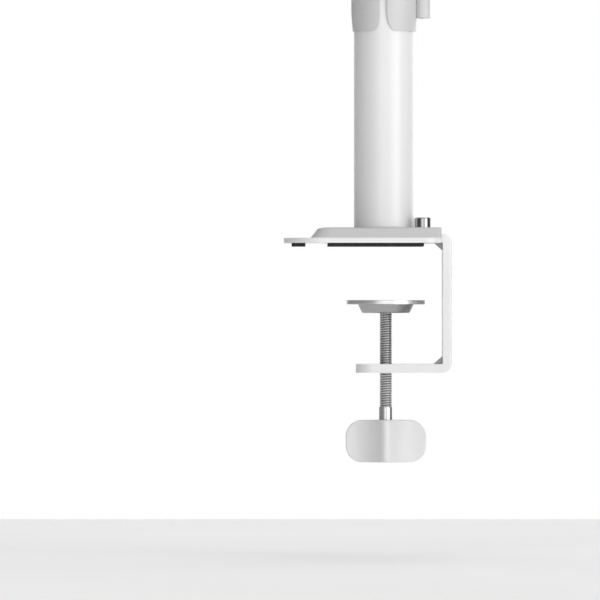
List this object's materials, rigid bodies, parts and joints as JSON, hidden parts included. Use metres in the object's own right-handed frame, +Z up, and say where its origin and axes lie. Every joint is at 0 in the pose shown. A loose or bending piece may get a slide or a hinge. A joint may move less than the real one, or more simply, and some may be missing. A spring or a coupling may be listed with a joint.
{
  "type": "monitor arm",
  "caption": "Desk-clamped screen arm: a round post on a clamped foot, a swinging lower arm, a gas-spring upper arm and a tilting, turning screen plate.",
  "frame": {"origin": "on the post's axis, at the underside of the foam pads, where the foot rests on the desk top", "axes": "+Z up along the post; the arm reaches over the desk along -X and the clamp hooks round the desk's edge at +X; +Y is away from the near side"},
  "size_m": [0.6308, 0.115, 0.4694],
  "materials": {
    "white_paint": "fine satin powder coat, white",
    "white_plastic": "fine matt moulding, white",
    "light_grey_plastic": "fine matt moulding, light grey",
    "grey_plastic": "fine matt moulding, mid grey",
    "black_foam": "closed-cell foam sheet, black",
    "black_plastic": "plain matt moulding, black",
    "black_paint": "semi-gloss paint, black",
    "zinc_plated_steel": "bright zinc plating with faint turning marks",
    "chrome": "polished bright plating",
    "dark_steel": "plain dark steel, lightly oiled",
    "bronze": "sintered bearing bronze, dull"
  },
  "bodies": {
    "base": {"front_pad": "black_foam", "rear_pad": "black_foam", "base_plate": "white_paint", "base_body": "white_paint", "post_bolt": "dark_steel", "post": "white_paint", "post_plug": "dark_steel", "post_spindle": "zinc_plated_steel", "hub_thrust_washer": "black_plastic", "hub_top_washer": "bronze", "hub_retaining_disc": "dark_steel", "hub_retaining_bolt": "dark_steel", "clamp_bracket": "white_paint", "bracket_bolt_near": "chrome", "bracket_bolt_far": "chrome"},
    "collar": {"collar_front_shell": "light_grey_plastic", "collar_rear_shell": "light_grey_plastic", "collar_screw_near": "zinc_plated_steel", "collar_screw_far": "zinc_plated_steel"},
    "clamp_pad": {"pressure_disc": "zinc_plated_steel", "pressure_dish": "zinc_plated_steel"},
    "clamp_drive": {"clamp_screw": "dark_steel", "screw_ferrule": "chrome", "pad_rivet": "zinc_plated_steel", "clamp_knob": "white_plastic"},
    "first_arm": {"lower_arm": "white_paint", "hub_cap": "white_plastic", "hub_bush_lower": "bronze", "hub_bush_upper": "bronze", "elbow_bush_lower": "bronze", "elbow_bush_upper": "bronze", "lower_arm_cover": "white_plastic", "elbow_bottom_cap": "white_plastic", "elbow_thrust_washer": "black_plastic"},
    "elbow": {"elbow_knuckle": "white_paint", "elbow_nut": "zinc_plated_steel", "strut_rear_pin": "zinc_plated_steel"},
    "second_arm": {"spring_arm_channel": "white_paint", "spring_arm_cover": "white_plastic", "rear_pivot_cap_near": "grey_plastic", "rear_pivot_cap_far": "grey_plastic", "front_pivot_cap_near": "grey_plastic", "front_pivot_cap_far": "grey_plastic", "gas_cylinder": "black_paint", "rear_pivot_pin": "zinc_plated_steel", "front_pivot_pin": "zinc_plated_steel", "strut_front_pin": "zinc_plated_steel"},
    "strut_rod": {"gas_rod": "chrome"},
    "links": {"tie_link_near": "dark_steel", "tie_link_far": "dark_steel"},
    "front_end": {"front_knuckle": "white_paint", "swivel_bush": "bronze"},
    "head": {"head_yoke": "white_paint", "swivel_pin": "zinc_plated_steel", "tilt_bolt": "zinc_plated_steel", "tilt_nut": "zinc_plated_steel"},
    "tilt_head": {"tilt_block": "white_paint", "turn_grub_screw": "dark_steel"},
    "screen_mount": {"screen_rotor": "zinc_plated_steel", "screen_plate": "white_paint"}
  },
  "joints": [
    {"name": "collar_slide", "type": "slide", "parent": "base", "child": "collar", "axis": [0, 0, 1], "range_m": [-0.115, 0.01]},
    {"name": "clamp_travel", "type": "slide", "parent": "base", "child": "clamp_pad", "axis": [0, 0, 1], "range_m": [-0.031, 0.02]},
    {"name": "clamp_screw_turn", "type": "hinge", "parent": "clamp_pad", "child": "clamp_drive", "pos_m": [0.0011, 0, -0.05], "axis": [0, 0, 1], "range_deg": [-7450, 4810]},
    {"name": "arm_swivel", "type": "hinge", "parent": "base", "child": "first_arm", "pos_m": [0, 0, 0.217], "axis": [0, 0, 1], "range_deg": [-90, 90]},
    {"name": "elbow_turn", "type": "hinge", "parent": "first_arm", "child": "elbow", "pos_m": [-0.23, 0, 0.24], "axis": [0, 0, 1], "range_deg": [-135, 135]},
    {"name": "arm_pitch", "type": "hinge", "parent": "elbow", "child": "second_arm", "pos_m": [-0.23, 0, 0.298], "axis": [0, 1, 0], "range_deg": [-35, 45]},
    {"name": "strut_slide", "type": "slide", "parent": "second_arm", "child": "strut_rod", "axis": [0.997, 0, -0.0778], "range_m": [-0.0102, 0.013]},
    {"name": "link_turn", "type": "hinge", "parent": "elbow", "child": "links", "pos_m": [-0.23, 0, 0.284], "axis": [0, 1, 0], "range_deg": [-36, 46]},
    {"name": "level_turn", "type": "hinge", "parent": "second_arm", "child": "front_end", "pos_m": [-0.47, 0, 0.298], "axis": [0, 1, 0], "range_deg": [-46, 36]},
    {"name": "head_swivel", "type": "hinge", "parent": "front_end", "child": "head", "pos_m": [-0.512, 0, 0.276], "axis": [0, 0, 1], "range_deg": [-90, 90]},
    {"name": "head_tilt", "type": "hinge", "parent": "head", "child": "tilt_head", "pos_m": [-0.562, 0, 0.276], "axis": [0, 1, 0], "range_deg": [-45, 45]},
    {"name": "screen_turn", "type": "hinge", "parent": "tilt_head", "child": "screen_mount", "pos_m": [-0.58, 0, 0.276], "axis": [1, 0, 0], "range_deg": [-90, 90]}
  ],
  "couplings": [
    {"joint": "clamp_screw_turn", "follows": "clamp_travel", "rad_per_m": 4188.8},
    {"joint": "strut_slide", "follows": "arm_pitch", "m_per_rad": 0.0164},
    {"joint": "link_turn", "follows": "arm_pitch", "ratio": 1},
    {"joint": "level_turn", "follows": "arm_pitch", "ratio": -1}
  ]
}
